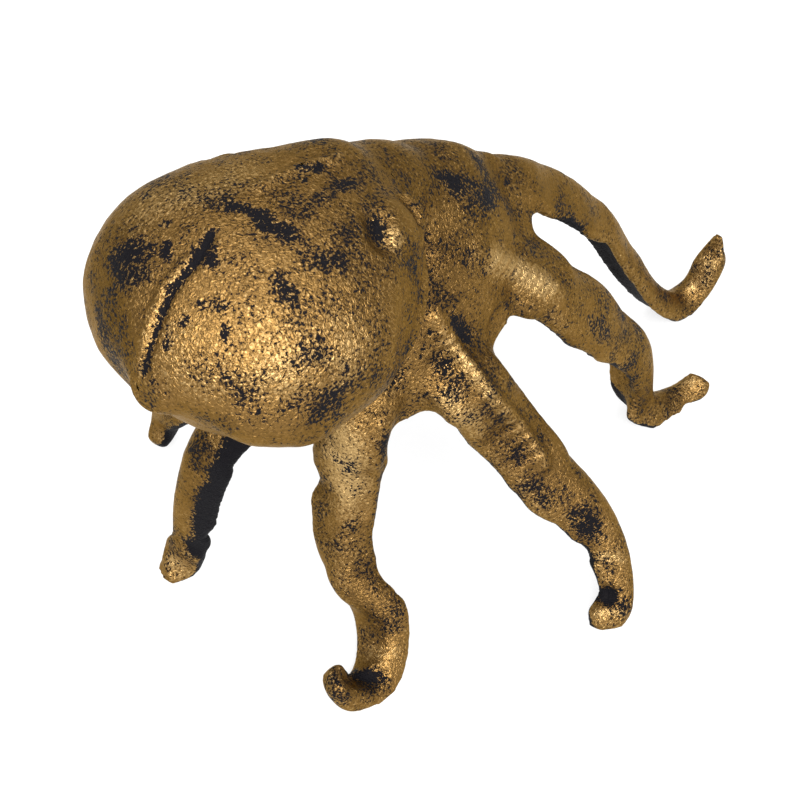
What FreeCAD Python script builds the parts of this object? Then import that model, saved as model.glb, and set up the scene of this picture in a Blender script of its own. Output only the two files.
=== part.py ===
import FreeCAD, Part
import math
import os

# Standing octopus figurine in cast metal. Millimetres, +Z up, +X the way the front arms reach.
# The model is built about the head's axis and moved at the end, so that the origin lies on the
# table under the middle of the whole figurine.

# Head, the bell that the arms grow out of: its rim leans up in front, and a brow on its top
# fills the dip towards the mantle
HEAD_HEIGHT = 80.0
HEAD_HALF_LENGTH = 40.0
HEAD_HALF_WIDTH = 29.0
HEAD_CROWN = 50.0
HEAD_FORWARD = 4.0
BROW_SET_BACK = 13.0
BROW_RISE = 47.0
BROW_HALF_LENGTH = 24.0
BROW_HALF_WIDTH = 15.0
BROW_HALF_HEIGHT = 12.5
RIM_DROP = 1.0
RIM_TILT = 16.0
CASTING_WALL = 3.5

# Mantle, the hollow sack behind the eyes
MANTLE_SET_BACK = 52.0
MANTLE_RISE = 47.0
MANTLE_REAR_LENGTH = 38.2
MANTLE_FRONT_LENGTH = 44.0
MANTLE_HALF_WIDTH = 38.0
MANTLE_CROWN = 27.0
MANTLE_BELLY = 31.5
MANTLE_STEPS = 8
MANTLE_ANGLES = (8, 20, 35, 50, 70, 90, 110, 130, 145, 160, 172)
TAIL_POWER = 1.6
BROW_POWER = 0.6
MANTLE_TILT = 5.0

# Eyes, placed as shares of the mantle's front length, half width and crown
EYE_HALF_LENGTH = 7.5
EYE_HALF_WIDTH = 6.0
EYE_HALF_HEIGHT = 8.0
EYE_PLACE_SHARES = (0.77, 0.42, 0.27)

# Arms: a crowned strap, open underneath, that turns solid towards its foot
FRONT_REACH = 128.0
HIDDEN_FRONT_SHARE = 1.19
SIDE_FRONT_REACH = 88.0
SIDE_REAR_REACH = 73.0
REAR_REACH = 65.0
FRONT_ROOT_WIDTH = 19.0
SIDE_FRONT_ROOT_WIDTH = 29.0
SIDE_REAR_ROOT_WIDTH = 25.0
REAR_ROOT_WIDTH = 20.0
ANKLE_WIDTH = 11.0
SOLE_CUT = 0.6
OVERRUN = 200.0

# Web between the two front arms of a side, by its distance from the head's axis and its height
WEB_OUT = 35.0
WEB_HEIGHT = 92.0
WEB_HALF_LENGTH = 10.0
WEB_HALF_WIDTH = 8.0
WEB_HALF_HEIGHT = 9.0
WEB_HEADINGS = (-20, 28)

# Stations on the stub that is cast with the head, and the stub's flare towards the head
STUB_SHARES = (0.0, 0.5, 1.0)
FLARE_SHARES = (1.1, 1.0, 1.0)
# Stations from the root to the tip, and there: how much wider than the ankle, as a share of
# what the root is wider, the depth as a share of the width, and the hollow as one of the depth
STATION_SHARES = (0.0, 0.14, 0.28, 0.42, 0.56, 0.69, 0.8, 0.88, 0.95, 1.0)
TAPER_SHARES = (1.0, 0.86, 0.74, 0.61, 0.48, 0.3, 0.14, 0.05, 0.0, 0.0)
DEPTH_SHARES = (0.56, 0.57, 0.58, 0.6, 0.62, 0.64, 0.66, 0.68, 0.68, 0.66)
HOLLOW_SHARES = (0.5, 0.5, 0.5, 0.46, 0.38, 0.2, -0.04, -0.12, -0.15, -0.15)
# How far the ankle's own width is kept there: the front arms end in a pointed leaf
TIP_SHARES = (1.0, 1.0, 1.0, 1.0, 1.0, 1.0, 1.0, 1.0, 0.95, 0.8)
FRONT_TIP_SHARES = (1.0, 1.0, 1.0, 1.0, 1.0, 1.0, 1.1, 1.1, 0.85, 0.35)
SIDE_FRONT_TIP_SHARES = (1.0, 1.0, 1.0, 1.0, 1.0, 1.0, 1.0, 1.0, 0.8, 0.65)
# The crowned back of the section, as shares of its half width and of its depth
CROWN_SHARES = ((-1.0, 0.16), (-0.76, 0.64), (0.0, 1.0), (0.76, 0.64), (1.0, 0.16))
CROWN_STEP_SHARES = (0.0, 0.25, 0.5, 0.75, 1.0)
LIP_SHARE = 0.82
LOFT_DEGREE = 3

# Lines: share of reach outwards, share of reach to the arm's left, share of HEAD_HEIGHT upwards
FRONT_LINE_SHARES = ((0.02, 0.0, 1.34), (0.2, 0.02, 1.38), (0.47, 0.035, 1.145),
                     (0.61, 0.045, 0.91), (0.79, 0.05, 0.46), (0.91, 0.045, 0.15),
                     (1.015, 0.05, 0.0), (1.12, 0.025, 0.32))
SIDE_FRONT_LINE_SHARES = ((0.05, 0.0, 1.29), (0.34, -0.02, 1.17), (0.5, -0.03, 1.0),
                          (0.67, 0.0, 0.78), (0.84, 0.035, 0.51), (0.95, 0.045, 0.27),
                          (0.985, 0.03, 0.06), (1.05, 0.035, 0.0), (1.26, 0.085, 0.02))
SIDE_REAR_LINE_SHARES = ((0.05, -0.03, 1.25), (0.29, -0.08, 1.14), (0.45, 0.04, 0.79),
                         (0.56, 0.115, 0.6), (0.81, 0.235, 0.29), (0.95, 0.215, 0.09),
                         (1.0, 0.155, 0.0), (0.97, 0.06, 0.01))
REAR_LINE_SHARES = ((0.2, -0.05, 1.2), (0.5, -0.09, 1.05), (0.555, -0.145, 0.72),
                    (0.63, -0.168, 0.42), (0.72, -0.035, 0.18), (0.79, -0.01, 0.07),
                    (0.89, -0.02, 0.0), (1.05, -0.17, 0.12))
LEFT_SIDE_REAR_LINE_SHARES = ((0.1, -0.03, 1.19), (0.29, 0.03, 1.05), (0.49, 0.04, 0.84),
                              (0.64, 0.04, 0.6), (0.85, 0.02, 0.36), (0.98, -0.01, 0.19),
                              (1.04, -0.03, 0.05), (1.06, 0.03, 0.0))
LEFT_REAR_LINE_SHARES = ((0.25, 0.07, 1.18), (0.44, 0.07, 1.02), (0.79, 0.05, 0.74),
                         (0.9, -0.02, 0.42), (0.94, -0.06, 0.13), (0.98, -0.08, 0.0),
                         (1.06, -0.08, 0.0))


def vector(x, y, z):
    return FreeCAD.Vector(x, y, z)


class Arm:
    """One arm: its heading in degrees, how far its foot stands from the head's axis, its width
    at the root, where the root lies as a share of its length, and its line as shares."""

    def __init__(self, heading, reach, root_width, root_share, line_shares,
                 tip_shares=TIP_SHARES):
        self.heading = math.radians(heading)
        self.reach = reach
        self.root_width = root_width
        self.root_share = root_share
        self.tip_shares = tip_shares
        self.line = self.lay_line(line_shares)

    def place(self, out_share, left_share, up_share):
        """A point of the line. A height share of nothing puts the sole just into the table."""
        out = self.reach * out_share
        left = self.reach * left_share
        sole = ANKLE_WIDTH * DEPTH_SHARES[-1] / 2 - SOLE_CUT
        return vector(out * math.cos(self.heading) - left * math.sin(self.heading),
                      out * math.sin(self.heading) + left * math.cos(self.heading),
                      sole + (HEAD_HEIGHT - sole) * up_share)

    def lay_line(self, line_shares):
        line = Part.BSplineCurve()
        line.interpolate([self.place(*shares) for shares in line_shares])
        return line

    def frames(self, shares):
        """Centre, width direction and back direction at each share of the line's length. The
        back starts upwards and is carried along the line without twist."""
        length = self.line.length()
        back = vector(0, 0, 1)
        frames = []
        for share in shares:
            at = self.line.parameterAtDistance(length * share, self.line.FirstParameter)
            along = self.line.tangent(at)[0]
            back = back - along * back.dot(along)
            back.normalize()
            frames.append((self.line.value(at), along.cross(back), back))
        return frames

    def solids(self):
        """The stub that belongs to the head, and the arm that meets it face to face."""
        stub_shares = [self.root_share * share for share in STUB_SHARES]
        rest = 1 - self.root_share
        arm_shares = [self.root_share + rest * share for share in STATION_SHARES]
        frames = self.frames(stub_shares[:-1] + arm_shares)
        wires = []
        for frame, flare in zip(frames, FLARE_SHARES):
            width = self.root_width * flare
            wires.append(section(frame, width, width * DEPTH_SHARES[0], HOLLOW_SHARES[0]))
        stub = Part.makeLoft(wires, True, False, False, LOFT_DEGREE)
        wires = []
        stations = zip(frames[len(STUB_SHARES) - 1:], TAPER_SHARES, self.tip_shares,
                       DEPTH_SHARES, HOLLOW_SHARES)
        for frame, taper, tip, depth, hollow in stations:
            width = ANKLE_WIDTH * tip + (self.root_width - ANKLE_WIDTH) * taper
            wires.append(section(frame, width, width * depth, hollow))
        return stub, Part.makeLoft(wires, True, False, False, LOFT_DEGREE)


def section(frame, width, depth, hollow):
    """The strap's closed outline: a crowned back, two lips and a hollow or rounded underside."""
    centre, across, back = frame

    def at(sideways, upwards):
        return centre + across * (width / 2 * sideways) + back * (depth * (upwards - 0.5))

    crown = Part.BSplineCurve()
    crown.interpolate(Points=[at(*shares) for shares in CROWN_SHARES],
                      Parameters=CROWN_STEP_SHARES)
    under = Part.BSplineCurve()
    under.interpolate(Points=[at(LIP_SHARE, 0), at(0, hollow), at(-LIP_SHARE, 0)],
                      Parameters=CROWN_STEP_SHARES[::2])
    right_lip = Part.makeLine(at(*CROWN_SHARES[-1]), at(LIP_SHARE, 0))
    left_lip = Part.makeLine(at(-LIP_SHARE, 0), at(*CROWN_SHARES[0]))
    return Part.Wire([crown.toShape(), right_lip, under.toShape(), left_lip])


def scaled_ball(centre, along, across, upward):
    """A ball scaled to its half sizes."""
    scale = FreeCAD.Matrix()
    scale.scale(along, across, upward)
    ball = Part.makeSphere(1).transformGeometry(scale)
    ball.translate(centre)
    return ball


def mantle_section(forward, half_width, crown, belly, side):
    """Half of the mantle's outline across its length, closed along the middle plane."""
    middle = vector(forward, 0, 0)
    points = []
    for step in range(MANTLE_STEPS + 1):
        angle = math.radians(90 - 180 * step / MANTLE_STEPS)
        height = crown if step < MANTLE_STEPS / 2 else belly
        points.append(middle + vector(0, side * half_width * math.cos(angle),
                                      height * math.sin(angle)))
    skin = Part.BSplineCurve()
    skin.interpolate(Points=points, Parameters=list(range(MANTLE_STEPS + 1)),
                     InitialTangent=vector(0, side, 0), FinalTangent=vector(0, -side, 0))
    return Part.Wire([skin.toShape(), Part.makeLine(points[-1], points[0])])


def mantle_half(side, inset):
    """One side of the mantle, or of the hollow inside it when inset by the wall. The belly
    draws in faster than the crown towards the tail, and the crown keeps up over the eyes."""
    rear = MANTLE_REAR_LENGTH - inset
    front = MANTLE_FRONT_LENGTH - inset
    outlines = [Part.Vertex(vector(-rear, 0, 0))]
    for angle in MANTLE_ANGLES:
        length = rear if angle < 90 else front
        belly_power = TAIL_POWER if angle < 90 else 1
        crown_power = 1 if angle < 90 else BROW_POWER
        swell = math.sin(math.radians(angle))
        outlines.append(mantle_section(-length * math.cos(math.radians(angle)),
                                       (MANTLE_HALF_WIDTH - inset) * swell,
                                       (MANTLE_CROWN - inset) * swell ** crown_power,
                                       (MANTLE_BELLY - inset) * swell ** belly_power, side))
    outlines.append(Part.Vertex(vector(front, 0, 0)))
    return Part.makeLoft(outlines, True, False, False, LOFT_DEGREE)


def eye(side):
    forward, out, up = EYE_PLACE_SHARES
    centre = vector(MANTLE_FRONT_LENGTH * forward, side * MANTLE_HALF_WIDTH * out,
                    MANTLE_CROWN * up)
    return scaled_ball(centre, EYE_HALF_LENGTH, EYE_HALF_WIDTH, EYE_HALF_HEIGHT)


def set_mantle(shape):
    """The mantle is built about its own middle, then tilted tail up and set behind the head."""
    shape.rotate(vector(0, 0, 0), vector(0, 1, 0), MANTLE_TILT)
    shape.translate(vector(-MANTLE_SET_BACK, 0, HEAD_HEIGHT + MANTLE_RISE))
    return shape


def front_web(heading):
    """What fills the crotch between the two front arms of a side."""
    web = scaled_ball(vector(WEB_OUT, 0, WEB_HEIGHT), WEB_HALF_LENGTH, WEB_HALF_WIDTH,
                      WEB_HALF_HEIGHT)
    web.rotate(vector(0, 0, 0), vector(0, 0, 1), heading)
    return web


def bell(inset):
    """The head's outside, or the hollow inside it when inset by the wall."""
    return scaled_ball(vector(HEAD_FORWARD, 0, HEAD_HEIGHT), HEAD_HALF_LENGTH - inset,
                       HEAD_HALF_WIDTH - inset, HEAD_CROWN - inset)


def brow():
    """What fills the dip between the bell and the front of the mantle."""
    return scaled_ball(vector(-BROW_SET_BACK, 0, HEAD_HEIGHT + BROW_RISE), BROW_HALF_LENGTH,
                       BROW_HALF_WIDTH, BROW_HALF_HEIGHT)


def head(stubs, mantle):
    """The bell cut off at its leaning rim, with the arms' stubs, hollow and seated on the
    mantle."""
    below_rim = Part.makeBox(2 * OVERRUN, 2 * OVERRUN, OVERRUN)
    below_rim.translate(vector(-OVERRUN, -OVERRUN, -OVERRUN))
    below_rim.rotate(vector(0, 0, 0), vector(0, 1, 0), -RIM_TILT)
    below_rim.translate(vector(0, 0, HEAD_HEIGHT - RIM_DROP))
    casting = bell(0).cut(below_rim).fuse(brow())
    for stub in stubs:
        casting = casting.fuse(stub)
    return casting.cut(bell(CASTING_WALL)).cut(mantle)


def main():
    os.makedirs("parts", exist_ok=True)
    arms = {
        "right_front": Arm(-13, FRONT_REACH, FRONT_ROOT_WIDTH, 0.25, FRONT_LINE_SHARES,
                           FRONT_TIP_SHARES),
        "right_side_front": Arm(-29, SIDE_FRONT_REACH, SIDE_FRONT_ROOT_WIDTH, 0.31,
                                SIDE_FRONT_LINE_SHARES, SIDE_FRONT_TIP_SHARES),
        "right_side_rear": Arm(-92, SIDE_REAR_REACH, SIDE_REAR_ROOT_WIDTH, 0.38,
                               SIDE_REAR_LINE_SHARES),
        "right_rear": Arm(-147, REAR_REACH, REAR_ROOT_WIDTH, 0.34, REAR_LINE_SHARES),
        "left_front": Arm(15, SIDE_FRONT_REACH * HIDDEN_FRONT_SHARE, FRONT_ROOT_WIDTH, 0.29,
                          FRONT_LINE_SHARES, FRONT_TIP_SHARES),
        "left_side_front": Arm(40, SIDE_FRONT_REACH, SIDE_FRONT_ROOT_WIDTH, 0.31,
                               SIDE_FRONT_LINE_SHARES, SIDE_FRONT_TIP_SHARES),
        "left_side_rear": Arm(105, SIDE_REAR_REACH, SIDE_REAR_ROOT_WIDTH, 0.34,
                              LEFT_SIDE_REAR_LINE_SHARES),
        "left_rear": Arm(150, REAR_REACH, REAR_ROOT_WIDTH, 0.29, LEFT_REAR_LINE_SHARES),
    }
    table = Part.makeBox(2 * OVERRUN, 2 * OVERRUN, OVERRUN)
    table.translate(vector(-OVERRUN, -OVERRUN, -OVERRUN))
    pieces = {}
    stubs = []
    for name, arm in arms.items():
        stub, limb = arm.solids()
        stubs.append(stub)
        pieces["arm_" + name] = limb.cut(table)
    for heading in WEB_HEADINGS:
        web = front_web(heading)
        for limb in pieces.values():
            web = web.cut(limb)
        stubs.append(web)
    mantle = []
    for name, side in (("left", 1), ("right", -1)):
        outside = set_mantle(mantle_half(side, 0).fuse(eye(side)))
        mantle.append(outside)
        hollow = set_mantle(mantle_half(side, CASTING_WALL))
        pieces["mantle_half_" + name] = outside.cut(hollow)
    pieces["head_and_web"] = head(stubs, mantle)
    for name, piece in pieces.items():
        print(name, piece.isValid(), len(piece.Solids), round(piece.Volume))
    box = Part.makeCompound(list(pieces.values())).optimalBoundingBox(False, False)
    print("size", box.XLength, box.YLength, box.ZLength, "at", box.Center, box.ZMin)
    for name, piece in pieces.items():
        piece.translate(vector(-box.Center.x, -box.Center.y, 0))
        piece.exportStep(os.path.join("parts", name + ".step"))


main()
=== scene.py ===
import logging
import math
from collections.abc import Callable
from dataclasses import dataclass, field
from enum import Enum

import bpy
import numpy as np
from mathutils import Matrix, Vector, kdtree
from mathutils.bvhtree import BVHTree


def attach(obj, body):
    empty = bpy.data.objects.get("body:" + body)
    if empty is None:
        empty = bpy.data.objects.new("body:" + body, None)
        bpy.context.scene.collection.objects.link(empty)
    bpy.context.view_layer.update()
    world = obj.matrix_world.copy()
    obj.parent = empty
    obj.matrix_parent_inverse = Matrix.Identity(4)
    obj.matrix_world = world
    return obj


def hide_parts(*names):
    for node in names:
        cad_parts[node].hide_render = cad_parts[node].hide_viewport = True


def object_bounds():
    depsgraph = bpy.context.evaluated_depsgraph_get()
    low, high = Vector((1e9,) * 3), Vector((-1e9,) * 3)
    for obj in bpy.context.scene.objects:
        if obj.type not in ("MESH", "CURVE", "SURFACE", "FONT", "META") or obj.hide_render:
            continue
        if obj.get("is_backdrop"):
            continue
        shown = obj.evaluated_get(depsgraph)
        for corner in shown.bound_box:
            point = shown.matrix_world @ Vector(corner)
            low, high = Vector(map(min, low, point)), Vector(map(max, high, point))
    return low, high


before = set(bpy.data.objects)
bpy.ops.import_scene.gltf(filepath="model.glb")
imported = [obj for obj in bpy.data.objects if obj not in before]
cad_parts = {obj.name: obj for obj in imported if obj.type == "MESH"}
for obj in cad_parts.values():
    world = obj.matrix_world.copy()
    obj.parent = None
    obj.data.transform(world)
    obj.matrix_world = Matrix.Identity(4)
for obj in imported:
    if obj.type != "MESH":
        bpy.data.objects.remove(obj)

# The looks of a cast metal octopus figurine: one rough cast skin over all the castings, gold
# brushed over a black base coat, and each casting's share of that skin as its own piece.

LOG = logging.getLogger("octopus")
MM = 0.001
WHITE = (1.0, 1.0, 1.0, 1.0)
BODY = "root"
NORMAL_LAYER = "cast_normal"
NOISE_MIDDLE = 0.5
TINY = 1e-6

# A stroke's steps along its path, in pixels: the shortest, and for each millimetre of radius
SHORTEST_STEP = 1.5
STEP_FOR_MM = 0.5

Pixel = tuple[float, float]
Path = tuple[Pixel, ...]


class Mark(Enum):
    """What a stroke does to the skin."""

    BARE = "bare"
    GILD = "gild"
    # Thicker or thinner gold, used to lay painted highlights and painted shade
    HEAVY = "gold_and_painted_light"
    RAISE = "raise"
    BLEND = "blend"
    LEAN = "lean"


class Side(Enum):
    """Where a stroke is laid, as the far side mirrors the one that is seen."""

    SEEN = (1,)
    BOTH = (1, -1)
    FAR = (-1,)


@dataclass(frozen=True)
class Stroke:
    """A brush stroke, patch or chased line, laid along pixels of the photograph.

    Its amount is in millimetres where it raises the skin and a share elsewhere. A stroke on both
    sides is also laid on the mirror image, one on the far side on nothing else, and a leaning
    one moves the skin across and down the photograph by its shift, in pixels.
    """

    mark: Mark
    path: Path
    radius: float
    amount: float = 1.0
    side: Side = Side.SEEN
    shift: Pixel = (0.0, 0.0)

    def pixels(self) -> list[Pixel]:
        """Walks along the path in steps that suit the radius.

        Returns:
            The pixels stepped on.
        """
        step = max(SHORTEST_STEP, self.radius / MM * STEP_FOR_MM)
        found = [self.path[0]]
        for (x0, y0), (x1, y1) in zip(self.path, self.path[1:]):
            count = max(1, math.ceil(math.hypot(x1 - x0, y1 - y0) / step))
            found.extend((x0 + (x1 - x0) * k / count, y0 + (y1 - y0) * k / count)
                         for k in range(1, count + 1))
        return found


class Socket:
    """A shader value that adds, subtracts, multiplies and divides by making Math nodes."""

    def __init__(self, tree: bpy.types.NodeTree, output: bpy.types.NodeSocket) -> None:
        """Keeps the output and the tree that it is in."""
        self.tree = tree
        self.output = output

    def math(self, operation: str, *others: "Socket | float") -> "Socket":
        """Makes one Math node.

        Args:
            operation: The node's operation.
            others: The second and third values.

        Returns:
            The node's result.
        """
        node = self.tree.nodes.new("ShaderNodeMath")
        node.operation = operation
        for index, value in enumerate((self, *others)):
            if isinstance(value, Socket):
                self.tree.links.new(value.output, node.inputs[index])
            else:
                node.inputs[index].default_value = value
        return Socket(self.tree, node.outputs[0])

    def __add__(self, other: "Socket | float") -> "Socket":
        """The sum."""
        return self.math("ADD", other)

    def __radd__(self, other: float) -> "Socket":
        """The sum, with the number first."""
        return self + other

    def __sub__(self, other: "Socket | float") -> "Socket":
        """The difference."""
        return self.math("SUBTRACT", other)

    def __rsub__(self, other: float) -> "Socket":
        """A number less this value."""
        return self * -1.0 + other

    def __mul__(self, other: "Socket | float") -> "Socket":
        """The product."""
        return self.math("MULTIPLY", other)

    def __rmul__(self, other: float) -> "Socket":
        """The product, with the number first."""
        return self * other

    def __truediv__(self, other: "Socket | float") -> "Socket":
        """The quotient."""
        return self.math("DIVIDE", other)

    def __rtruediv__(self, other: float) -> "Socket":
        """A number divided by this value."""
        return self.math("POWER", -1.0) * other

    def clamped(self) -> "Socket":
        """This value, held between 0 and 1."""
        return self.math("MAXIMUM", 0.0).math("MINIMUM", 1.0)

    def above(self, threshold: "Socket | float", softness: float) -> "Socket":
        """Goes from 0 to 1 where this value passes the threshold.

        Args:
            threshold: The value at the middle of the step.
            softness: Half the step's width.

        Returns:
            The step, clamped.
        """
        return ((self - threshold) / (2 * softness) + 0.5).clamped()


class Finish:
    """A material in the making: its tree, and short ways to add nodes."""

    def __init__(self, name: str) -> None:
        """Makes an empty node material.

        Args:
            name: The material's name.
        """
        self.material = bpy.data.materials.new(name)
        self.material.use_nodes = True
        self.tree = self.material.node_tree
        self.tree.nodes.clear()

    def node(self, kind: str, settings: dict | None = None,
             inputs: dict | None = None) -> bpy.types.Node:
        """Adds a node.

        Args:
            kind: The node's type.
            settings: Its properties by name.
            inputs: Its inputs by name or number, each a value or a Socket.

        Returns:
            The node.
        """
        node = self.tree.nodes.new(kind)
        for name, value in (settings or {}).items():
            setattr(node, name, value)
        for name, value in (inputs or {}).items():
            if isinstance(value, Socket):
                self.tree.links.new(value.output, node.inputs[name])
            else:
                node.inputs[name].default_value = value
        return node

    def socket(self, node: bpy.types.Node, output: str | int = 0) -> Socket:
        """One output of a node, as a Socket."""
        return Socket(self.tree, node.outputs[output])

    def noise(self, place: Socket, scale: float, detail: float = 2.0,
              roughness: float = 0.5, distortion: float = 0.0) -> Socket:
        """Cloudy noise at a place.

        Args:
            place: The coordinates, in metres.
            scale: Features per metre.
            detail: Octaves.
            roughness: How strong the small octaves are.
            distortion: How much the noise is swirled.

        Returns:
            The noise, about NOISE_MIDDLE on average.
        """
        return self.socket(self.node("ShaderNodeTexNoise", None, {
            "Vector": place, "Scale": scale, "Detail": detail,
            "Roughness": roughness, "Distortion": distortion}))

    def blend(self, share: Socket, first: "Socket | tuple", second: "Socket | tuple") -> Socket:
        """Mixes two colours.

        Args:
            share: 0 gives the first, 1 the second.
            first: A colour.
            second: A colour.

        Returns:
            The mixed colour.
        """
        share_input, first_input, second_input, colour_output = 0, 6, 7, 2
        return self.socket(self.node("ShaderNodeMix", {"data_type": "RGBA"}, {
            share_input: share, first_input: first, second_input: second}), colour_output)

    def layer(self, name: str) -> Socket:
        """A value painted on the skin's points."""
        return self.socket(self.node("ShaderNodeAttribute", {"attribute_name": name}), "Fac")

    def close(self, surface: bpy.types.Node) -> bpy.types.Material:
        """Links the surface to the output.

        Args:
            surface: The shader node.

        Returns:
            The finished material.
        """
        output = self.node("ShaderNodeOutputMaterial")
        self.tree.links.new(surface.outputs[0], output.inputs[0])
        return self.material


@dataclass(frozen=True)
class AntiqueGold:
    """Antique gold brushed over a black base coat on a sand casting, with painted glints, painted
    highlights and painted shade in its colour.
    """

    black: tuple = (0.004, 0.004, 0.0055, 1.0)
    umber: tuple = (0.045, 0.024, 0.008, 1.0)
    gold: tuple = (0.19, 0.107, 0.033, 1.0)
    # The pale gold of the painted highlights and painted glints
    highlight_gold: tuple = (0.48, 0.32, 0.135, 1.0)
    edge: tuple = (0.72, 0.6, 0.43, 1.0)

    # Features per metre
    pore_scale: float = 1350.0
    crumple_scale: float = 820.0
    cluster_scale: float = 150.0
    drift_scale: float = 45.0

    # What makes the brush miss a pore, and how soft the edge of the gold is
    missed_at_all: float = 0.412
    missed_by_drift: float = 0.3
    missed_by_cluster: float = 0.45
    missed_where_bare: float = 0.25
    missed_where_sheltered: float = 0.5
    # Painted highlights also fill pores with gold, and painted shade leaves more of them black
    reached_by_gold_and_light: float = 0.04
    gold_edge: float = 0.02

    # What turns the coat from umber to gold
    warm_at_all: float = 0.6
    warm_by_drift: float = -1.4
    warm_by_cluster: float = -1.0
    warm_by_pore: float = 1.6
    warm_by_crease: float = 2.0
    # Painted highlights warm the coat towards gold, and painted shade darkens it towards umber
    warm_by_gold_and_light: float = 0.35

    # What turns the gold pale: painted highlights where they are laid, and painted glints on the
    # grain's peaks
    glint_by_gold_and_light: float = 0.55
    glint_pore: float = 0.58
    glint_by_pore: float = 3.0

    # The grain's relief, and how much each pattern adds to it
    grain_height: float = 0.34 * MM
    crease_share: float = 2.2
    pore_share: float = 0.5
    paint_share: float = 0.05

    metallic: float = 0.95
    specular: float = 0.06
    black_roughness: float = 0.6
    gold_roughness: float = 0.34
    pore_roughness: float = 0.15

    def make(self) -> bpy.types.Material:
        """Builds the material.

        Returns:
            The material, which reads Object coordinates and the skin's painted layers.
        """
        finish = Finish("antique_gold")
        place = finish.socket(finish.node("ShaderNodeTexCoord"), "Object")
        pore = finish.noise(place, self.pore_scale, detail=3.0, roughness=0.6, distortion=0.5)
        crumple = finish.noise(place, self.crumple_scale, distortion=0.7)
        cluster = finish.noise(place, self.cluster_scale)
        drift = finish.noise(place, self.drift_scale)
        gilt, bare, gold_and_painted_light = (finish.layer(name) for name in ("gilt", "bare", "gold_and_painted_light"))

        missed = ((drift - NOISE_MIDDLE) * self.missed_by_drift
                  + (cluster - NOISE_MIDDLE) * self.missed_by_cluster
                  + bare * self.missed_where_bare - gold_and_painted_light * self.reached_by_gold_and_light
                  + (1.0 - gilt) * self.missed_where_sheltered + self.missed_at_all)
        painted = pore.above(missed, self.gold_edge)

        crease = (crumple - NOISE_MIDDLE).math("ABSOLUTE")
        # The coat's tone varies at random, and is warmed by painted highlights and darkened by
        # painted shade
        warmth = ((drift - NOISE_MIDDLE) * self.warm_by_drift
                  + (cluster - NOISE_MIDDLE) * self.warm_by_cluster
                  + (pore - NOISE_MIDDLE) * self.warm_by_pore
                  + crease * self.warm_by_crease + gold_and_painted_light * self.warm_by_gold_and_light
                  + self.warm_at_all)
        # Painted highlights and painted glints: pale gold where highlights are laid and on the
        # grain's peaks
        glint = gold_and_painted_light * self.glint_by_gold_and_light + (pore - self.glint_pore) * self.glint_by_pore
        coat = finish.blend(warmth.clamped(), self.umber, self.gold)
        coat = finish.blend(glint.clamped(), coat, self.highlight_gold)
        colour = finish.blend(painted, self.black, coat)

        height = (crease * self.crease_share + pore * self.pore_share
                  + painted * self.paint_share)
        bump = finish.node("ShaderNodeBump", None, {
            "Strength": 1.0, "Distance": self.grain_height, "Height": height})
        roughness = (painted * (self.gold_roughness - self.black_roughness)
                     + self.black_roughness + (pore - NOISE_MIDDLE) * self.pore_roughness)
        return finish.close(finish.node("ShaderNodeBsdfPrincipled", None, {
            "Base Color": colour, "Metallic": painted * self.metallic, "Roughness": roughness,
            "Specular Tint": self.edge, "Specular IOR Level": self.specular,
            "Normal": finish.socket(bump)}))


@dataclass(frozen=True)
class PhotoCamera:
    """The camera that took the photograph, fitted to the figurine's outline."""

    place: tuple[float, float, float] = (-0.28678, -0.19435, 0.3843)
    azimuth: float = -53.7
    elevation: float = 46.1
    lens: float = 75.6
    sensor: float = 36.0
    pixels: int = 800
    nearest: float = 0.01
    farthest: float = 20.0

    def axes(self) -> tuple[Vector, Vector, Vector]:
        """The camera's own directions.

        Returns:
            To its right, up, and from the figurine back to the camera.
        """
        turn, lift = math.radians(self.azimuth), math.radians(self.elevation)
        back = Vector((math.sin(turn) * math.cos(lift), -math.cos(turn) * math.cos(lift),
                       math.sin(lift)))
        right = Vector((0, 0, 1)).cross(back).normalized()
        return right, back.cross(right), back

    def pixel_size(self) -> float:
        """The width of a pixel, one metre in front of the camera."""
        return self.sensor / self.lens / self.pixels

    def ray(self, pixel: Pixel) -> Vector:
        """The direction in which a pixel looks.

        Args:
            pixel: Across and down, in the photograph's pixels.

        Returns:
            A unit vector.
        """
        right, up, back = self.axes()
        across = (pixel[0] - self.pixels / 2) * self.pixel_size()
        down = (pixel[1] - self.pixels / 2) * self.pixel_size()
        return (right * across - up * down - back).normalized()

    def move(self, shift: Pixel) -> Vector:
        """The way that moves a point at the figurine across and down the photograph.

        Args:
            shift: Across and down, in pixels.

        Returns:
            The move, in metres.
        """
        right, up, _ = self.axes()
        scale = self.pixel_size() * Vector(self.place).length
        return (right * shift[0] - up * shift[1]) * scale

    def build(self) -> None:
        """Puts the camera in the scene."""
        data = bpy.data.cameras.new("photo_camera")
        data.lens = self.lens
        data.sensor_width = self.sensor
        data.clip_start = self.nearest
        data.clip_end = self.farthest
        camera = bpy.data.objects.new("photo_camera", data)
        bpy.context.scene.collection.objects.link(camera)
        camera.location = self.place
        camera.rotation_mode = "QUATERNION"
        camera.rotation_quaternion = (-self.axes()[2]).to_track_quat("-Z", "Y")
        bpy.context.scene.camera = camera


def pick(*objects: bpy.types.Object) -> None:
    """Selects these objects alone.

    Args:
        objects: The objects, of which the first becomes the active one.
    """
    bpy.ops.object.select_all(action="DESELECT")
    for thing in objects:
        thing.select_set(True)
    bpy.context.view_layer.objects.active = objects[0]


def edit_all(thing: bpy.types.Object, operator: Callable, **settings: object) -> None:
    """Runs an edit mode operator on the whole of a mesh.

    Args:
        thing: The mesh's object.
        operator: The operator.
        settings: What the operator is given.
    """
    pick(thing)
    bpy.ops.object.mode_set(mode="EDIT")
    bpy.ops.mesh.select_all(action="SELECT")
    operator(**settings)
    bpy.ops.object.mode_set(mode="OBJECT")


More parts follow.
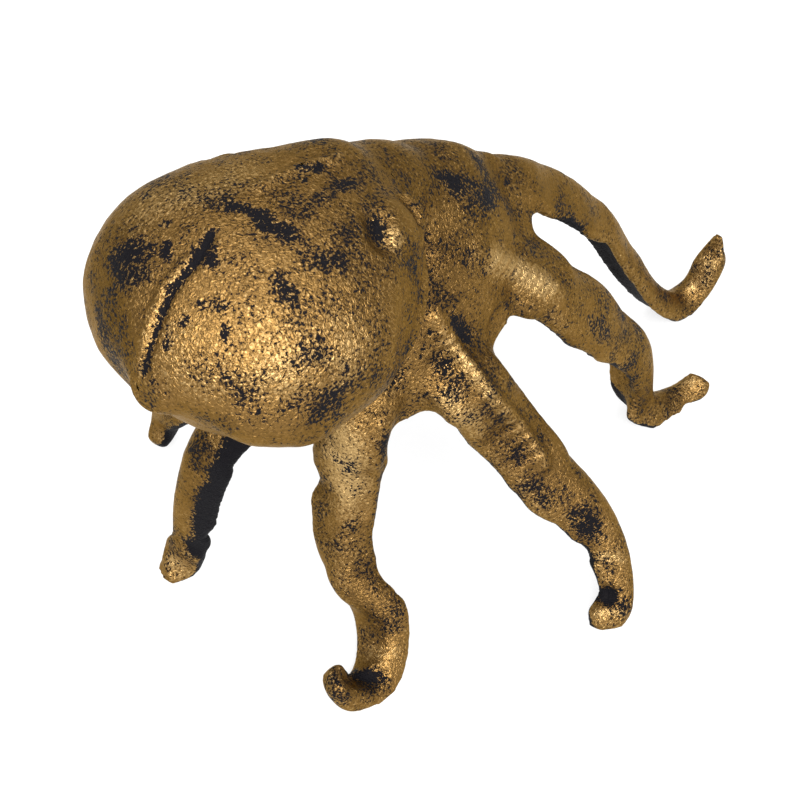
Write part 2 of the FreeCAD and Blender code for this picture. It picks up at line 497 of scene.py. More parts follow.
def apply_modifier(thing: bpy.types.Object, kind: str, **settings: object) -> None:
    """Adds a modifier and applies it.

    Args:
        thing: The object.
        kind: The modifier's type.
        settings: Its properties.
    """
    modifier = thing.modifiers.new(kind.lower(), kind)
    for name, value in settings.items():
        setattr(modifier, name, value)
    pick(thing)
    bpy.ops.object.modifier_apply(modifier=modifier.name)


def read(items: bpy.types.bpy_prop_collection, name: str, width: int = 1,
         kind: type = np.float32) -> np.ndarray:
    """Reads one property of everything in a mesh's collection.

    Args:
        items: The points, edges, corners or faces.
        name: The property.
        width: How many numbers it has.
        kind: Their type.

    Returns:
        The numbers, in rows where the property has more than one.
    """
    values = np.empty(len(items) * width, kind)
    items.foreach_get(name, values)
    return values if width == 1 else values.reshape(-1, width)


def unit(rows: np.ndarray) -> np.ndarray:
    """Scales each row to a length of 1, or leaves it short where it has hardly any."""
    return rows / np.maximum(np.linalg.norm(rows, axis=1), TINY)[:, None]


@dataclass
class Mantle:
    """The hollow sack in two halves, with its eyes and the seam along its middle."""

    seam_radius: float = 2.2 * MM
    groove_radius: float = 1.5 * MM
    eye_radius: float = 8.5 * MM
    seen_eye_height: float = 2.0
    far_eye_height: float = 1.2

    def strokes(self) -> list[Stroke]:
        """All the hand work on the mantle."""
        return self.seam() + self.sack() + self.eyes()

    def seam(self) -> list[Stroke]:
        """The seam, a ridge in front and a groove with a lip behind.

        Returns:
            Its strokes.
        """
        groove = ((211, 236), (196, 262), (171, 292), (160, 320), (150, 350), (144, 372))
        return [
            Stroke(Mark.RAISE, ((340, 157), (312, 163), (283, 175), (258, 187)),
                   self.seam_radius, 0.9),
            Stroke(Mark.RAISE, ((188, 260), (164, 288), (152, 316), (143, 345), (138, 365)),
                   self.seam_radius, 0.6),
            # A painted highlight along the lip of the groove
            Stroke(Mark.HEAVY, ((188, 262), (165, 290), (153, 318), (144, 345)), 1.4 * MM, 0.3),
            Stroke(Mark.RAISE, groove, self.groove_radius, -0.7),
            Stroke(Mark.BARE, groove, 1.3 * MM, 0.9),
        ]

    def sack(self) -> list[Stroke]:
        """The sack's outline at the back and underneath."""
        return [
            Stroke(Mark.LEAN, ((262, 430), (308, 430)), 12 * MM, shift=(0.0, 9.0)),
            Stroke(Mark.LEAN, ((88, 312), (98, 345)), 16 * MM, shift=(9.0, -4.0)),
            Stroke(Mark.LEAN, ((138, 388),), 9 * MM, shift=(-2.0, 2.0)),
            Stroke(Mark.LEAN, ((142, 202),), 18 * MM, shift=(-3.0, -3.0)),
            Stroke(Mark.LEAN, ((153, 398),), 8 * MM, shift=(-4.0, 6.0)),
        ]

    def eyes(self) -> list[Stroke]:
        """The domed eyes, each with a rim around it and a recess beside it.

        Returns:
            Their strokes. The far eye is lower, so that it stays behind the mantle's outline.
        """
        eye = ((402, 222),)
        return [
            Stroke(Mark.LEAN, eye, 12 * MM, side=Side.FAR, shift=(0.0, 12.0)),
            Stroke(Mark.RAISE, eye, self.eye_radius, self.seen_eye_height),
            Stroke(Mark.RAISE, eye, self.eye_radius, self.far_eye_height, Side.FAR),
            Stroke(Mark.RAISE, ((395, 236),), 4.0 * MM, side=Side.BOTH),
            Stroke(Mark.RAISE, ((406, 198), (416, 206), (421, 222), (419, 240)), 2.2 * MM),
            Stroke(Mark.RAISE, ((376, 224), (380, 240)), 4.6 * MM, -1.5, Side.BOTH),
        ]


@dataclass
class Head:
    """The head in front of the mantle, with the brow that runs into it."""

    brow_radius: float = 12 * MM
    crown_radius: float = 13 * MM

    def strokes(self) -> list[Stroke]:
        """The brow's run into the mantle and the arms, and the crease behind the head.

        Returns:
            The strokes.
        """
        return [
            Stroke(Mark.LEAN, ((320, 155), (350, 151), (376, 149)), self.brow_radius,
                   shift=(0.0, -6.0)),
            Stroke(Mark.LEAN, ((462, 156), (486, 166)), 9 * MM, shift=(0.0, -9.0)),
            Stroke(Mark.LEAN, ((345, 154), (368, 166)), self.brow_radius, side=Side.BOTH,
                   shift=(0.0, -4.0)),
            Stroke(Mark.LEAN, ((420, 285), (412, 335)), 9 * MM, shift=(-6.0, 0.0)),
            Stroke(Mark.BLEND, ((340, 150), (370, 162), (402, 184)), self.brow_radius,
                   side=Side.BOTH),
            Stroke(Mark.BLEND, ((396, 146), (425, 160), (434, 190)), self.crown_radius,
                   side=Side.BOTH),
            Stroke(Mark.BLEND, ((350, 146), (360, 147)), self.brow_radius),
            Stroke(Mark.BLEND, ((470, 158), (488, 168)), self.crown_radius, side=Side.BOTH),
            Stroke(Mark.RAISE, ((426, 254), (424, 290), (415, 335), (398, 375)), 3.0 * MM, -0.8),
        ]


@dataclass
class Arms:
    """The arms in view: the crests, ribs, hollows and lobes that the sculptor gave them."""

    rib_radius: float = 1.6 * MM
    rib_height: float = 0.5

    def strokes(self) -> list[Stroke]:
        """All the hand work on the arms and their feet."""
        return (self.right_front() + self.right_side_front() + self.right_side_rear()
                + self.right_rear() + self.left())

    def ribs(self, first: Path, step: Pixel, count: int) -> list[Stroke]:
        """Fine ribs side by side along a crest.

        Args:
            first: The path of the first rib.
            step: The way from one rib to the next, in pixels.
            count: How many there are.

        Returns:
            One stroke for each rib.
        """
        paths = [tuple((x + step[0] * rib, y + step[1] * rib) for x, y in first)
                 for rib in range(count)]
        return [Stroke(Mark.RAISE, path, self.rib_radius, self.rib_height) for path in paths]

    def right_front(self) -> list[Stroke]:
        """The long arm at the top of the photograph."""
        return [
            Stroke(Mark.LEAN, ((562, 198), (600, 224)), 14 * MM, shift=(-5.0, 8.0)),
            Stroke(Mark.LEAN, ((632, 258),), 14 * MM, shift=(-2.0, 2.0)),
            Stroke(Mark.LEAN, ((716, 252),), 6 * MM, shift=(5.0, 0.0)),
            Stroke(Mark.BLEND, ((700, 276), (712, 256)), 6 * MM, 0.4),
        ]

    def right_side_front(self) -> list[Stroke]:
        """The arm with a bright ribbed root and a foot that points forwards.

        Returns:
            Its strokes.
        """
        return self.ribs(((498, 254), (490, 269)), (7, 4), 9) + [
            Stroke(Mark.LEAN, ((614, 374), (624, 404)), 7 * MM, shift=(-4.0, 1.0)),
            Stroke(Mark.LEAN, ((660, 388),), 6 * MM, shift=(-1.0, -4.0)),
            Stroke(Mark.LEAN, ((588, 338), (604, 352)), 11 * MM, shift=(-3.0, 6.0)),
            Stroke(Mark.LEAN, ((638, 416), (646, 416)), 8 * MM, shift=(-9.0, 2.0)),
            Stroke(Mark.LEAN, ((532, 234), (558, 262)), 8 * MM, shift=(-2.0, 5.0)),
            Stroke(Mark.LEAN, ((498, 322),), 6 * MM, shift=(-4.0, -4.0)),
            Stroke(Mark.LEAN, ((530, 308),), 7 * MM, shift=(0.0, 6.0)),
            Stroke(Mark.LEAN, ((698, 389),), 7 * MM, shift=(8.0, 1.0)),
            Stroke(Mark.BLEND, ((619, 374), (626, 388), (631, 402)), 8 * MM),
            Stroke(Mark.BLEND, ((672, 400), (692, 394)), 5 * MM, 0.5),
            Stroke(Mark.RAISE, ((480, 252), (520, 272), (560, 294)), 5.0 * MM, 0.9),
        ]

    def right_side_rear(self) -> list[Stroke]:
        """The arm with a ribbed crest down its middle and a hollow on either side of it.

        Returns:
            Its strokes.
        """
        crest = ((436, 319), (458, 351), (490, 391), (522, 427), (544, 463))
        return self.ribs(((443, 328), (433, 337)), (7, 9), 15) + [
            Stroke(Mark.LEAN, ((588, 552),), 6 * MM, shift=(6.0, -2.0)),
            Stroke(Mark.LEAN, ((598, 612),), 6 * MM, shift=(-6.0, 4.0)),
            Stroke(Mark.LEAN, ((622, 616),), 6 * MM, shift=(2.0, 5.0)),
            Stroke(Mark.LEAN, ((500, 374), (530, 412), (554, 442)), 9 * MM, shift=(4.0, -3.0)),
            Stroke(Mark.LEAN, ((472, 438), (500, 472)), 9 * MM, shift=(4.0, -4.0)),
            Stroke(Mark.LEAN, ((545, 506),), 9 * MM, shift=(-3.0, 5.0)),
            Stroke(Mark.RAISE, crest, 3.2 * MM, 1.3),
            Stroke(Mark.RAISE, ((444, 370), (480, 412), (516, 455)), 6.0 * MM, -0.8),
            Stroke(Mark.RAISE, ((466, 335), (500, 378), (540, 425)), 5.0 * MM, -0.8),
            Stroke(Mark.RAISE, ((608, 596),), 4.0 * MM, -1.6),
            Stroke(Mark.RAISE, ((594, 612), (620, 611)), 3.0 * MM, 0.9),
        ]

    def right_rear(self) -> list[Stroke]:
        """The arm nearest to the camera, whose foot curls round a hollow.

        Returns:
            Its strokes.
        """
        return [
            Stroke(Mark.LEAN, ((347, 475), (347, 530)), 18 * MM, shift=(8.0, 0.0)),
            Stroke(Mark.LEAN, ((385, 625), (388, 650)), 13 * MM, shift=(8.0, 0.0)),
            Stroke(Mark.LEAN, ((338, 674),), 7 * MM, shift=(2.0, -7.0)),
            Stroke(Mark.LEAN, ((322, 458), (320, 466)), 8 * MM, shift=(-9.0, 0.0)),
            Stroke(Mark.LEAN, ((312, 496), (314, 520)), 10 * MM, shift=(6.0, 0.0)),
            Stroke(Mark.LEAN, ((387, 448),), 9 * MM, shift=(-4.0, 0.0)),
            Stroke(Mark.LEAN, ((345, 590),), 9 * MM, shift=(-6.0, 2.0)),
            Stroke(Mark.LEAN, ((390, 582),), 8 * MM, shift=(-5.0, 3.0)),
            Stroke(Mark.LEAN, ((366, 632), (366, 650)), 7 * MM, shift=(7.0, 0.0)),
            Stroke(Mark.LEAN, ((388, 690),), 9 * MM, shift=(2.0, 3.0)),
            Stroke(Mark.BLEND, ((388, 452), (384, 466)), 6 * MM, 0.5),
            Stroke(Mark.BLEND, ((320, 462), (318, 478)), 6 * MM, 0.4),
            Stroke(Mark.RAISE, ((380, 480), (374, 530), (379, 565)), 9 * MM, -1.5),
            Stroke(Mark.RAISE, ((384, 425), (378, 470), (372, 520)), 3.5 * MM, 0.9),
            Stroke(Mark.RAISE, ((348, 674), (376, 678)), 4.0 * MM, -1.6),
            Stroke(Mark.RAISE, ((333, 675), (345, 692), (368, 698)), 3.0 * MM, 0.8),
        ]

    def left(self) -> list[Stroke]:
        """The left rear arm, and the foot of the one before it."""
        return [
            Stroke(Mark.LEAN, ((212, 480), (208, 530)), 8 * MM, shift=(7.0, 1.0)),
            Stroke(Mark.LEAN, ((178, 561),), 8 * MM, shift=(-6.0, -12.0)),
            Stroke(Mark.LEAN, ((204, 545),), 6 * MM, shift=(6.0, -2.0)),
            Stroke(Mark.LEAN, ((158, 426),), 8 * MM, shift=(-3.0, -6.0)),
            Stroke(Mark.RAISE, ((182, 552),), 8.0 * MM, 1.8),
        ]


@dataclass
class Brushwork:
    """Where the gold brush missed the casting or reached under it, and where painted highlights
    and painted shade are laid as thicker and thinner gold.
    """

    # How strongly the painted highlights and the painted shade are laid
    highlight_amount: float = 0.8
    shade_amount: float = -0.7

    def strokes(self) -> list[Stroke]:
        """The patches and highlights of the photograph, with radii in millimetres.

        Returns:
            One stroke for each.
        """
        found = [Stroke(Mark.BARE, path, radius * MM, amount)
                 for path, radius, amount in self.bare()]
        # Painted highlights, laid as thicker gold
        found += [Stroke(Mark.HEAVY, path, radius * MM, self.highlight_amount)
                  for path, radius in self.gold_and_painted_light()]
        # Painted shade, laid as thinner gold
        found += [Stroke(Mark.HEAVY, path, radius * MM, self.shade_amount)
                  for path, radius in self.painted_shade()]
        found += [Stroke(Mark.GILD, path, radius * MM, amount)
                  for path, radius, amount in self.gilded()]
        return found

    def bare(self) -> tuple[tuple[Path, float, float], ...]:
        """The black patches, each with its path, radius and amount."""
        return (
            (((236, 207), (256, 211)), 3.0, 0.9), (((262, 219), (286, 232)), 3.2, 0.85),
            (((302, 168), (318, 168)), 2.6, 0.9), (((305, 180),), 2.2, 0.8),
            (((294, 198), (312, 204), (330, 192)), 3.2, 0.45), (((165, 225),), 2.4, 0.7),
            (((168, 243), (167, 256)), 1.8, 1.0), (((118, 262), (132, 252), (148, 248)), 5.0, 0.7),
            (((128, 280), (145, 276)), 4.2, 0.65), (((183, 321),), 2.2, 1.0),
            (((170, 328), (166, 346)), 2.0, 0.9), (((225, 328), (223, 337)), 1.6, 1.0),
            (((200, 305), (225, 306)), 1.8, 0.6), (((278, 284), (288, 298)), 3.0, 0.45),
            (((300, 245), (330, 262)), 5.0, 0.35), (((212, 244), (210, 262)), 2.4, 0.8),
            (((456, 186), (472, 192), (488, 198)), 5.0, 0.7), (((496, 197), (508, 204)), 4.0, 0.4),
            (((440, 178), (450, 182)), 4.0, 0.35), (((375, 226), (378, 236)), 2.6, 0.6),
            (((384, 194), (396, 190)), 3.0, 0.5), (((366, 210),), 2.4, 0.5),
            (((340, 186), (356, 184)), 3.5, 0.6), (((456, 322), (466, 336)), 3.4, 0.7),
            (((428, 356), (450, 376)), 5.0, 0.2), (((440, 388), (456, 396)), 4.0, 0.2),
            (((408, 345), (398, 380)), 5.0, 0.3), (((513, 272),), 2.6, 0.6),
            (((553, 313), (566, 326)), 3.6, 0.4), (((592, 320), (606, 334)), 4.4, 0.5),
            (((618, 310), (627, 318)), 2.6, 0.4), (((626, 358), (634, 385)), 4.4, 0.24),
            (((526, 488), (548, 502)), 5.0, 0.2), (((584, 514), (604, 532)), 5.0, 0.25),
            (((609, 597),), 3.2, 1.0), (((384, 676), (388, 684)), 3.0, 0.3),
            (((338, 462), (348, 468)), 3.0, 0.35), (((346, 671), (370, 675)), 2.6, 1.0),
            (((387, 434), (383, 465), (378, 495), (374, 520)), 3.0, 0.45),
            (((332, 446), (345, 462), (350, 490)), 8.0, 0.26),
            (((334, 692), (346, 702)), 2.4, 0.25), (((404, 606), (407, 624)), 2.0, 0.45),
            (((666, 296),), 2.4, 0.5), (((708, 268), (702, 282)), 2.4, 0.35),
            (((558, 208), (566, 216)), 4.0, 0.3), (((184, 540), (194, 546)), 2.0, 0.7),
            (((570, 222), (584, 238), (600, 259), (618, 281), (634, 299)), 2.6, 1.6),
            (((250, 410), (330, 405)), 7.0, 0.3), (((100, 330), (120, 370)), 7.0, 0.4),
        )

    def gold_and_painted_light(self) -> tuple[tuple[Path, float], ...]:
        """Painted highlights, laid as thicker and paler gold, each with its path and radius."""
        return (
            (((205, 360), (260, 362)), 14.0), (((290, 372), (340, 350)), 11.0),
            (((393, 236), (398, 244)), 3.4), (((496, 262), (545, 284)), 6.0),
            (((436, 319), (458, 351), (490, 391), (522, 427), (544, 463)), 3.6),
            (((340, 436), (346, 470), (350, 505)), 9.0), (((340, 445), (346, 480)), 10.0),
            (((176, 562), (184, 570)), 5.0), (((698, 284), (708, 262)), 4.0),
            (((500, 256), (556, 288)), 5.5), (((452, 402), (478, 430)), 5.0),
            (((150, 205), (190, 190), (240, 172)), 11.0), (((693, 286),), 3.5),
            (((672, 384), (690, 381)), 3.5), (((372, 652), (394, 650)), 3.5),
            (((605, 556), (622, 560)), 3.0), (((180, 560),), 4.0), (((596, 613), (618, 612)), 2.0),
        )

    def painted_shade(self) -> tuple[tuple[Path, float], ...]:
        """Painted shade, laid as thinner and darker gold, each with its path and radius."""
        return (
            (((440, 245), (452, 290), (470, 330)), 9.0), (((410, 202), (419, 216)), 2.6),
            (((500, 300), (540, 325), (590, 355)), 5.0),
            (((412, 262), (416, 300), (408, 345)), 6.0),
            (((386, 440), (380, 480), (374, 520)), 2.6), (((590, 520), (580, 545)), 5.0),
            (((470, 350), (500, 395), (530, 430)), 4.0), (((395, 590), (404, 620)), 3.0),
            (((350, 690), (372, 676)), 3.0), (((100, 290), (120, 340)), 9.0),
            (((190, 415), (250, 428), (310, 425)), 9.0), (((446, 262), (430, 320)), 9.0),
            (((540, 188), (590, 222)), 7.0), (((630, 372), (645, 404)), 6.0),
            (((535, 450), (575, 492)), 8.0), (((372, 590), (386, 636)), 7.0),
            (((362, 575), (382, 628)), 6.0), (((612, 600),), 6.0), (((198, 450), (190, 500)), 6.0),
            (((215, 350), (255, 365), (300, 360)), 11.0), (((345, 690), (385, 684)), 5.0),
        )

    def gilded(self) -> tuple[tuple[Path, float, float], ...]:
        """Where the brush reached further than the casting's form lets it, or less far, each
        with its path, radius and amount."""
        return (
            (((520, 204), (560, 214)), 6.0, 1.0), (((604, 362), (618, 378), (626, 394)), 5.0, 1.0),
            (((582, 224), (600, 236), (614, 248)), 5.0, 1.0),
            (((614, 248), (632, 277), (650, 301), (680, 314)), 5.0, 1.0),
            (((664, 300), (690, 292), (704, 275), (718, 246)), 9.0, 1.0),
            (((510, 300), (545, 318), (590, 345), (618, 375)), 7.5, 1.0),
            (((626, 385), (638, 412)), 8.0, 1.0), (((628, 366), (634, 378), (639, 390)), 7.0, 1.0),
            (((440, 420), (500, 490), (565, 535)), 7.0, 1.0),
            (((240, 450), (226, 478), (210, 512), (204, 548)), 6.0, -1.0),
            (((217, 229), (205, 240), (194, 254)), 1.8, -0.35),
            (((572, 500), (590, 535), (600, 570)), 6.0, -0.16),
            (((604, 596), (625, 606)), 5.0, -0.3), (((395, 600), (400, 650)), 4.0, -0.1),
        )


@dataclass(frozen=True)
class BrushReach:
    """How the gold brush comes at the casting, which decides what it reaches."""

    # On the head and the arms it comes from outside and above, on the mantle from above
    outward_share: float = 0.75
    upward_share: float = 0.66
    mantle_lift: float = 0.75

    # A point that faces it by less than -turned is sheltered, and within the softness it is
    # reached in part
    turned: float = 0.5
    softness: float = 0.35

    # A hollow keeps the brush out and a ridge wears it off, for each millimetre of depth
    hollow_loss: float = 0.3
    most_hollow_loss: float = 0.25
    ridge_gain: float = 0.5
    most_ridge_gain: float = 0.5

    # How often the values are averaged over their neighbours
    normal_rounds: int = 12
    mantle_rounds: int = 6
    hollow_rounds: int = 30


@dataclass
class CastSkin:
    """The surface of the whole casting, and its shares for the separate castings."""

    camera: PhotoCamera
    voxel: float = 0.8 * MM
    coarse_voxel: float = 1.0 * MM
    fillet: float = 3.0 * MM
    strand: float = 0.5 * MM
    doubles: float = 0.001 * MM
    smoothing: float = 0.5
    smooth_rounds: int = 4
    hub: Pixel = (-0.02844, -0.001097)
    neighbour_share: float = 0.6
    fall_power: float = 1.5
    blend_rounds: int = 110
    vote_rounds: int = 10
    bumps: tuple[tuple[str, float, float], ...] = (
        ("lumps", 11.0 * MM, 0.3 * MM), ("dents", 3.4 * MM, 0.2 * MM))
    brush: BrushReach = BrushReach()
    skin: bpy.types.Object | None = None
    labels: list[str] = field(default_factory=list)
    owner: np.ndarray | None = None

    def gather(self) -> None:
        """Copies every casting, merged by distance, into one object."""
        copies = []
        for name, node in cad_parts.items():
            copy = bpy.data.objects.new(name + "_copy", node.data.copy())
            bpy.context.scene.collection.objects.link(copy)
            edit_all(copy, bpy.ops.mesh.remove_doubles, threshold=self.doubles)
            copies.append(copy)
        pick(*copies)
        bpy.ops.object.join()
        self.skin = bpy.context.object
        self.skin.name = "cast_skin"
        self.skin.data.materials.clear()
        self.report("gathered")

    def report(self, step: str) -> None:
        """Logs how many faces the skin has after a step."""
        LOG.info("%s: %d faces", step, len(self.skin.data.polygons))

    def remesh(self, voxel: float) -> None:
        """Rebuilds the skin as one closed surface."""
        apply_modifier(self.skin, "REMESH", mode="VOXEL", voxel_size=voxel)

    def grow(self, distance: float) -> None:
        """Moves the skin along its normals."""
        apply_modifier(self.skin, "DISPLACE", strength=distance, mid_level=0.0)

    def fill_creases(self) -> None:
        """Runs a fillet into every crease by growing the skin and shrinking it again, a little
        further for a moment so that no fine strand stays."""
        self.remesh(self.coarse_voxel)
        self.grow(self.fillet)
        self.remesh(self.coarse_voxel)
        self.grow(-self.fillet - self.strand)
        self.remesh(self.voxel)
        self.grow(self.strand)
        apply_modifier(self.skin, "SMOOTH", factor=self.smoothing, iterations=self.smooth_rounds)
        self.report("creases filled")

    def roughen(self) -> None:
        """Gives the surface the hand-made lumps and the rough edges of a sand casting."""
        for name, size, height in self.bumps:
            texture = bpy.data.textures.new(name, "CLOUDS")
            texture.noise_scale = size
            texture.noise_depth = 1
            apply_modifier(self.skin, "DISPLACE", strength=height, mid_level=NOISE_MIDDLE,
                           texture=texture, texture_coords="LOCAL")

    def points(self) -> np.ndarray:
        """The skin's points, one row each."""
        return read(self.skin.data.vertices, "co", 3)

    def normals(self) -> np.ndarray:
        """The skin's point normals, one row each."""
        return read(self.skin.data.vertex_normals, "vector", 3)

    def place_points(self, values: np.ndarray) -> None:
        """Writes the skin's points back."""
        self.skin.data.vertices.foreach_set("co", values.astype(np.float32).ravel())
        self.skin.data.update()

    def spread(self, values: np.ndarray, rounds: int) -> np.ndarray:
        """Averages a value over neighbouring points.

        Args:
            values: One row for each point.
            rounds: How often it is averaged.

        Returns:
            The averaged values.
        """
        count = len(self.skin.data.vertices)
        first, second = read(self.skin.data.edges, "vertices", 2, np.int32).T
        both, other = np.concatenate((first, second)), np.concatenate((second, first))
        degree = np.maximum(np.bincount(both, minlength=count), 1)
        values = values.astype(float)
        for _ in range(rounds):
            sums = [np.bincount(both, values[other, column], count) / degree
                    for column in range(values.shape[1])]
            values = ((1 - self.neighbour_share) * values
                      + self.neighbour_share * np.stack(sums, 1))
        return values

    def reach(self, strokes: list[Stroke], mark: Mark) -> list[tuple[Stroke, int, np.ndarray]]:
        """How strongly each stroke of one mark reaches each point.

        Args:
            strokes: All strokes.
            mark: The mark wanted.

        Returns:
            Each stroke with its side, 1 or -1 for the far one, and a value from 0 to 1 for
            each point.
        """
        points = self.points()
        tree = kdtree.KDTree(len(points))
        for index, point in enumerate(points):
            tree.insert(point, index)
        tree.balance()
        surface = BVHTree.FromObject(self.skin, bpy.context.evaluated_depsgraph_get())
        found = []
        for stroke in (stroke for stroke in strokes if stroke.mark is mark):
            hits = [surface.ray_cast(Vector(self.camera.place), self.camera.ray(pixel))[0]
                    for pixel in stroke.pixels()]
            for side in stroke.side.value:
                reached = np.zeros(len(points))
                for hit in (hit for hit in hits if hit is not None):
                    centre = Vector((hit.x, self.hub[1] + side * (hit.y - self.hub[1]), hit.z))
                    for _, index, distance in tree.find_range(centre, stroke.radius):
                        fall = (1 - (distance / stroke.radius) ** 2) ** self.fall_power
                        reached[index] = max(reached[index], fall)
                found.append((stroke, side, reached))
        return found

    def weights(self, strokes: list[Stroke], mark: Mark) -> np.ndarray:
        """The strokes of one mark together.

        Args:
            strokes: All strokes.
            mark: The mark wanted.

        Returns:
            One value for each point.
        """
        found = self.reach(strokes, mark)
        return sum((reached * stroke.amount for stroke, _, reached in found),
                   np.zeros(len(self.skin.data.vertices)))

    def lean(self, strokes: list[Stroke]) -> None:
        """Moves stretches of the skin across the photograph.

        Args:
            strokes: All strokes.
        """
        points = self.points()
        for stroke, side, reached in self.reach(strokes, Mark.LEAN):
            move = self.camera.move(stroke.shift) * Vector((1, side, 1))
            points = points + reached[:, None] * np.array(move)
        self.place_points(points)

    def blend(self, strokes: list[Stroke]) -> None:
        """Smooths the creases that the sculptor ran together.

        Args:
            strokes: All strokes.
        """
        share = np.clip(self.weights(strokes, Mark.BLEND), 0, 1)[:, None]
        points = self.points()
        self.place_points(points * (1 - share) + self.spread(points, self.blend_rounds) * share)

    def chase(self, strokes: list[Stroke]) -> None:
        """Raises ridges and cuts grooves along the strokes."""
        height = self.weights(strokes, Mark.RAISE) * MM
        self.place_points(self.points() + self.normals() * height[:, None])

    def fit(self, lowest: Vector, highest: Vector) -> None:
        """Holds the skin inside the castings' own box."""
        self.place_points(np.clip(self.points(), np.array(lowest), np.array(highest)))

    def assign(self) -> None:
        """Finds for each point the casting that lies under it."""
        self.labels = sorted(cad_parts)
        points, polygons, owners = [], [], []
        for index, name in enumerate(self.labels):
            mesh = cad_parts[name].data
            start = len(points)
            points.extend(vertex.co.copy() for vertex in mesh.vertices)
            corners = read(mesh.loops, "vertex_index", kind=np.int32)
            polygons.extend((corners.reshape(-1, 3) + start).tolist())
            owners.extend([index] * len(mesh.polygons))
        tree = BVHTree.FromPolygons(points, polygons)
        votes = np.zeros((len(self.skin.data.vertices), len(self.labels)))
        for index, point in enumerate(self.points()):
            votes[index, owners[tree.find_nearest(point)[2]]] = 1
        self.owner = np.argmax(self.spread(votes, self.vote_rounds), 1)

    def layer(self, name: str, values: np.ndarray) -> None:
        """Stores a painted value on the skin's points."""
        store = self.skin.data.attributes.new(name, "FLOAT", "POINT")
        store.data.foreach_set("value", np.clip(values, -1, 2).astype(np.float32))

    def facing(self, smooth: np.ndarray) -> np.ndarray:
        """How far each point faces the gold brush.

        Args:
            smooth: The skin's normals, averaged over the grain.

        Returns:
            One value for each point.
        """
        outward = unit(self.points()[:, :2] - np.array(self.hub))
        facing = (self.brush.outward_share * np.einsum("ij,ij->i", smooth[:, :2], outward)
                  + self.brush.upward_share * smooth[:, 2])
        on_mantle = np.isin(self.owner, [index for index, name in enumerate(self.labels)
                                         if name.startswith("mantle")])
        on_mantle = self.spread(on_mantle[:, None].astype(float), self.brush.mantle_rounds)[:, 0]
        return facing * (1 - on_mantle) + (smooth[:, 2] + self.brush.mantle_lift) * on_mantle

    def paint(self, strokes: list[Stroke]) -> None:
        """Paints the layers that the finish reads: where the gold brush reached, where it
        missed, and where the gold lies thicker on ridges, with the painted highlights and painted
        shade of the strokes.

        Args:
            strokes: All strokes.
        """
        brush, points = self.brush, self.points()
        smooth = unit(self.spread(self.normals(), brush.normal_rounds))
        sunk = self.spread(points, brush.hollow_rounds) - points
        sunk = np.einsum("ij,ij->i", sunk, smooth) / MM
        gilt = (np.clip((self.facing(smooth) + brush.turned) / brush.softness, 0, 1)
                - np.clip(sunk * brush.hollow_loss, 0, brush.most_hollow_loss))
        ridge = np.clip(-sunk * brush.ridge_gain, 0, brush.most_ridge_gain)
        self.layer("gilt", np.clip(gilt + self.weights(strokes, Mark.GILD), 0, 1))
        self.layer("bare", self.weights(strokes, Mark.BARE))
        # Gold builds up on ridges, and the strokes add painted highlights and painted shade
        self.layer("gold_and_painted_light", self.weights(strokes, Mark.HEAVY) + ridge)

    def split(self, finish: bpy.types.Material) -> None:
        """Cuts the skin into the castings' shares, closes them and lets them replace the nodes.

        Args:
            finish: The material of every share.
        """
        mesh = self.skin.data
        store = mesh.attributes.new(NORMAL_LAYER, "FLOAT_VECTOR", "POINT")
        store.data.foreach_set("vector", self.normals().ravel())
        corners = read(mesh.loops, "vertex_index", kind=np.int32)
        starts = read(mesh.polygons, "loop_start", kind=np.int32)
        for name in self.labels:
            mesh.materials.append(bpy.data.materials.new(name))
        mesh.polygons.foreach_set("material_index", self.owner[corners[starts]])
        edit_all(self.skin, bpy.ops.mesh.separate, type="MATERIAL")
        for piece in list(bpy.context.selected_objects):
            if not piece.data.polygons:
                continue
            name = piece.data.materials[piece.data.polygons[0].material_index].name
            self.close(piece)
            piece.data.materials.clear()
            piece.data.materials.append(finish)
            piece.name = name + "_cast"
            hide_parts(name)
            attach(piece, BODY)
            LOG.info("%s: %d faces", piece.name, len(piece.data.polygons))

    def close(self, piece: bpy.types.Object) -> None:
        """Closes a share where it was cut and keeps the whole skin's shading on it.

        Args:
            piece: The share.
        """
        skin_faces = len(piece.data.polygons)
        edit_all(piece, bpy.ops.mesh.fill_holes, sides=0)
        mesh = piece.data
        mesh.polygons.foreach_set("use_smooth", [True] * len(mesh.polygons))
        shading = read(mesh.attributes[NORMAL_LAYER].data, "vector", 3)
        shading = shading[read(mesh.loops, "vertex_index", kind=np.int32)]
        if len(mesh.polygons) > skin_faces:
            shading[mesh.polygons[skin_faces].loop_start:] = 0
        mesh.normals_split_custom_set(shading.tolist())
        mesh.attributes.remove(mesh.attributes[NORMAL_LAYER])


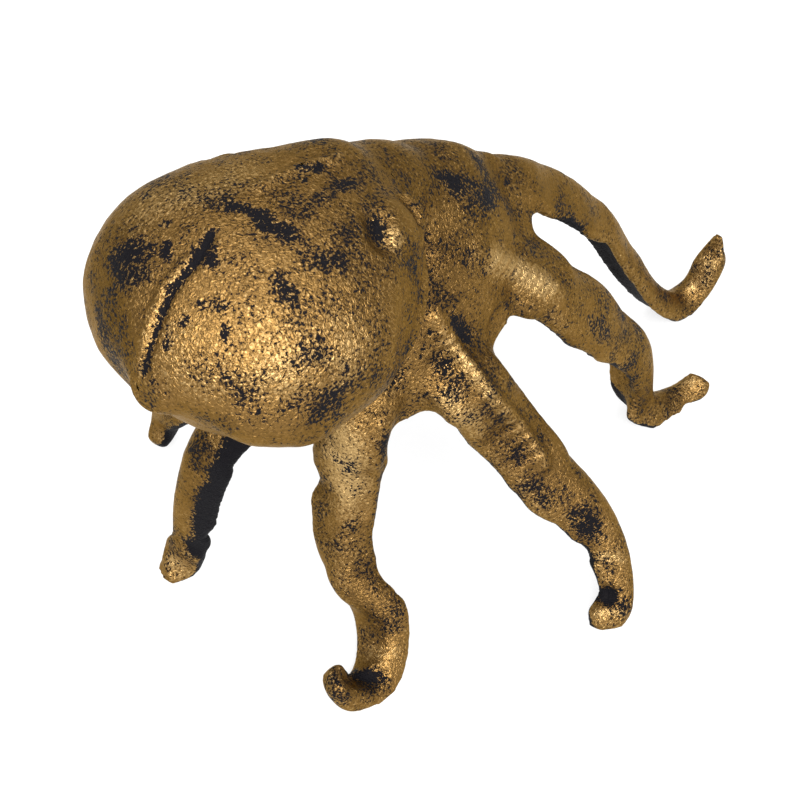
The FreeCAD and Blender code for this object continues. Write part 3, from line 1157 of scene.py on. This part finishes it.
@dataclass(frozen=True)
class Lamp:
    """A soft rectangular lamp: where it stands and its size, in metres, and its watts."""

    name: str
    place: tuple[float, float, float]
    size: tuple[float, float]
    power: float
    aim: tuple[float, float, float] = (0.0, 0.0, 0.08)

    def build(self) -> None:
        """Puts the lamp in the scene, turned to the figurine."""
        data = bpy.data.lights.new(self.name, "AREA")
        data.shape = "RECTANGLE"
        data.size, data.size_y = self.size
        data.energy = self.power
        lamp = bpy.data.objects.new(self.name, data)
        bpy.context.scene.collection.objects.link(lamp)
        lamp.location = self.place
        lamp.rotation_mode = "QUATERNION"
        lamp.rotation_quaternion = (Vector(self.aim) - Vector(self.place)).to_track_quat("-Z", "Y")


@dataclass
class Studio:
    """The pale floor, the surroundings and the soft lights."""

    floor_half: float = 3.0
    floor_tone: tuple = (0.25, 0.25, 0.25, 1.0)
    floor_roughness: float = 0.9
    floor_glow: float = 0.75
    world_glow: float = 0.55
    lamps: tuple[Lamp, ...] = (
        Lamp("key", (-0.66, -0.66, 0.84), (1.5, 0.8), 38.0),
        Lamp("top", (0.15, 0.1, 1.3), (1.5, 1.5), 16.0),
    )

    def build(self) -> None:
        """Puts floor, world and lights in the scene."""
        self.floor()
        self.world()
        for lamp in self.lamps:
            lamp.build()

    def floor(self) -> None:
        """A plain pale floor."""
        bpy.ops.object.select_all(action="DESELECT")
        bpy.ops.mesh.primitive_plane_add(size=2 * self.floor_half)
        floor = bpy.context.object
        floor.name = "floor"
        finish = Finish("pale_floor")
        floor.data.materials.append(finish.close(finish.node("ShaderNodeBsdfPrincipled", None, {
            "Base Color": self.floor_tone, "Roughness": self.floor_roughness,
            "Emission Color": WHITE, "Emission Strength": self.floor_glow})))
        floor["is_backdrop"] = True

    def world(self) -> None:
        """Even, pale surroundings."""
        world = bpy.data.worlds.new("studio")
        world.use_nodes = True
        back = world.node_tree.nodes["Background"]
        back.inputs["Color"].default_value = WHITE
        back.inputs["Strength"].default_value = self.world_glow
        bpy.context.scene.world = world


def main() -> None:
    """Builds the skin, paints it, splits it and lights it."""
    logging.basicConfig(level=logging.INFO, format="%(name)s: %(message)s")
    lowest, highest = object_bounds()
    camera = PhotoCamera()
    camera.build()
    strokes = Mantle().strokes() + Head().strokes() + Arms().strokes() + Brushwork().strokes()
    skin = CastSkin(camera)
    skin.gather()
    skin.fill_creases()
    skin.lean(strokes)
    skin.blend(strokes)
    skin.roughen()
    skin.chase(strokes)
    skin.fit(lowest, highest)
    skin.assign()
    skin.paint(strokes)
    skin.split(AntiqueGold().make())
    Studio().build()
    bpy.context.scene.view_settings.view_transform = "Standard"


if __name__ == "__main__":
    main()
